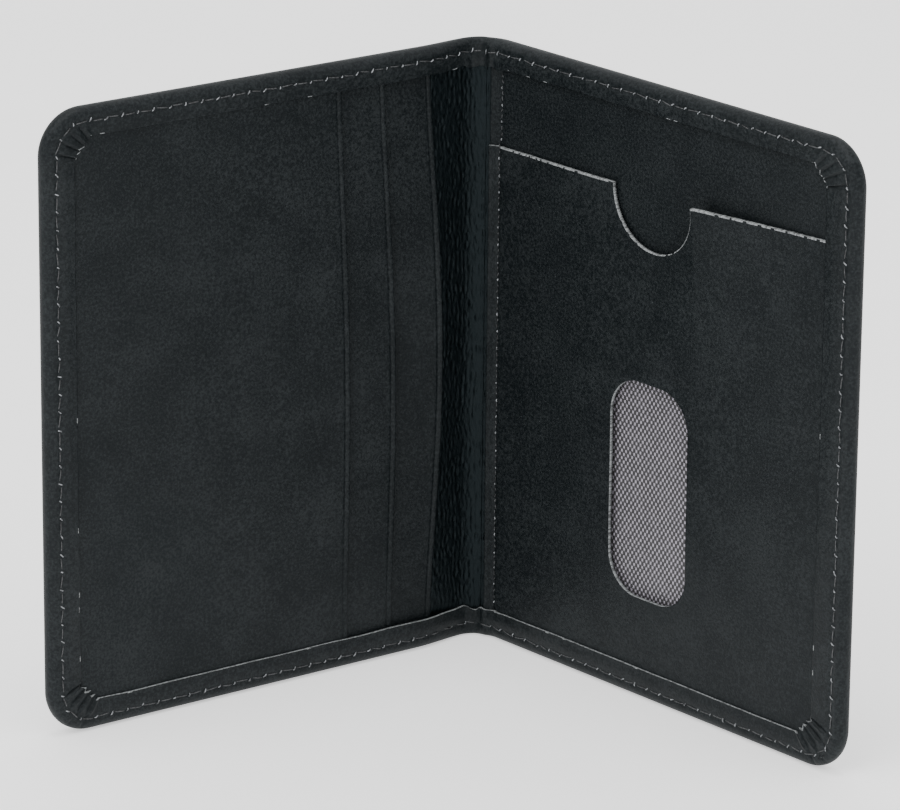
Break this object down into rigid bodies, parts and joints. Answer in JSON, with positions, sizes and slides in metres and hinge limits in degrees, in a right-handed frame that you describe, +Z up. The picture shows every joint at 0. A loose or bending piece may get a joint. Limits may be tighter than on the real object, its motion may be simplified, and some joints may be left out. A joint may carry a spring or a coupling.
{
  "type": "card wallet",
  "caption": "Two-leaf black leather card wallet standing open, with stepped card pockets and an ID pocket with a thumb notch and thumb window.",
  "frame": {"origin": "centre of the bounding box's bottom, on the surface that the wallet stands on", "axes": "+X runs along the right leaf from the spine to its free edge, -Y is the inner side of that leaf, +Z is up along the spine"},
  "size_m": [0.089, 0.0808, 0.096],
  "materials": {
    "cover_leather": "satin black smooth leather",
    "pocket_leather": "satin black smooth leather, thinner",
    "gutter_lining": "black grained lining leather",
    "board": "bonded fibre stiffener, matt",
    "pocket_nylon": "thin black nylon lining",
    "grey_nylon": "grey woven nylon lining, slight sheen",
    "thread": "bonded black polyester thread"
  },
  "bodies": {
    "right_leaf": {"right_cover": "cover_leather", "right_board": "board", "right_lining_wing": "gutter_lining", "id_top_band": "pocket_leather", "id_pocket_panel": "pocket_leather", "id_pocket_lining": "grey_nylon", "id_edge_seam": "thread", "right_hem_seam": "thread", "right_cover_seam": "thread"},
    "spine": {"spine_cover": "cover_leather", "spine_lining": "gutter_lining", "spine_hem_seam": "thread", "spine_cover_seam": "thread"},
    "left_leaf": {"left_cover": "cover_leather", "left_board": "board", "left_lining_wing": "gutter_lining", "left_backing_fabric": "pocket_nylon", "rear_pocket_fabric": "pocket_nylon", "middle_pocket_fabric": "pocket_nylon", "rear_pocket_strip": "pocket_leather", "middle_pocket_strip": "pocket_leather", "front_pocket_panel": "pocket_leather", "rear_pocket_seam": "thread", "middle_pocket_seam": "thread", "left_hem_seam": "thread", "left_cover_seam": "thread"}
  },
  "joints": [
    {"name": "right_fold", "type": "hinge", "parent": "right_leaf", "child": "spine", "pos_m": [-0.03288, 0.03925, 0], "axis": [0, 0, 1], "range_deg": [-42, 47.5]},
    {"name": "left_fold", "type": "hinge", "parent": "spine", "child": "left_leaf", "pos_m": [-0.03577, 0.03663, 0], "axis": [0, 0, 1], "range_deg": [-42, 47.5]}
  ],
  "couplings": [
    {"joint": "left_fold", "follows": "right_fold", "ratio": 1}
  ]
}
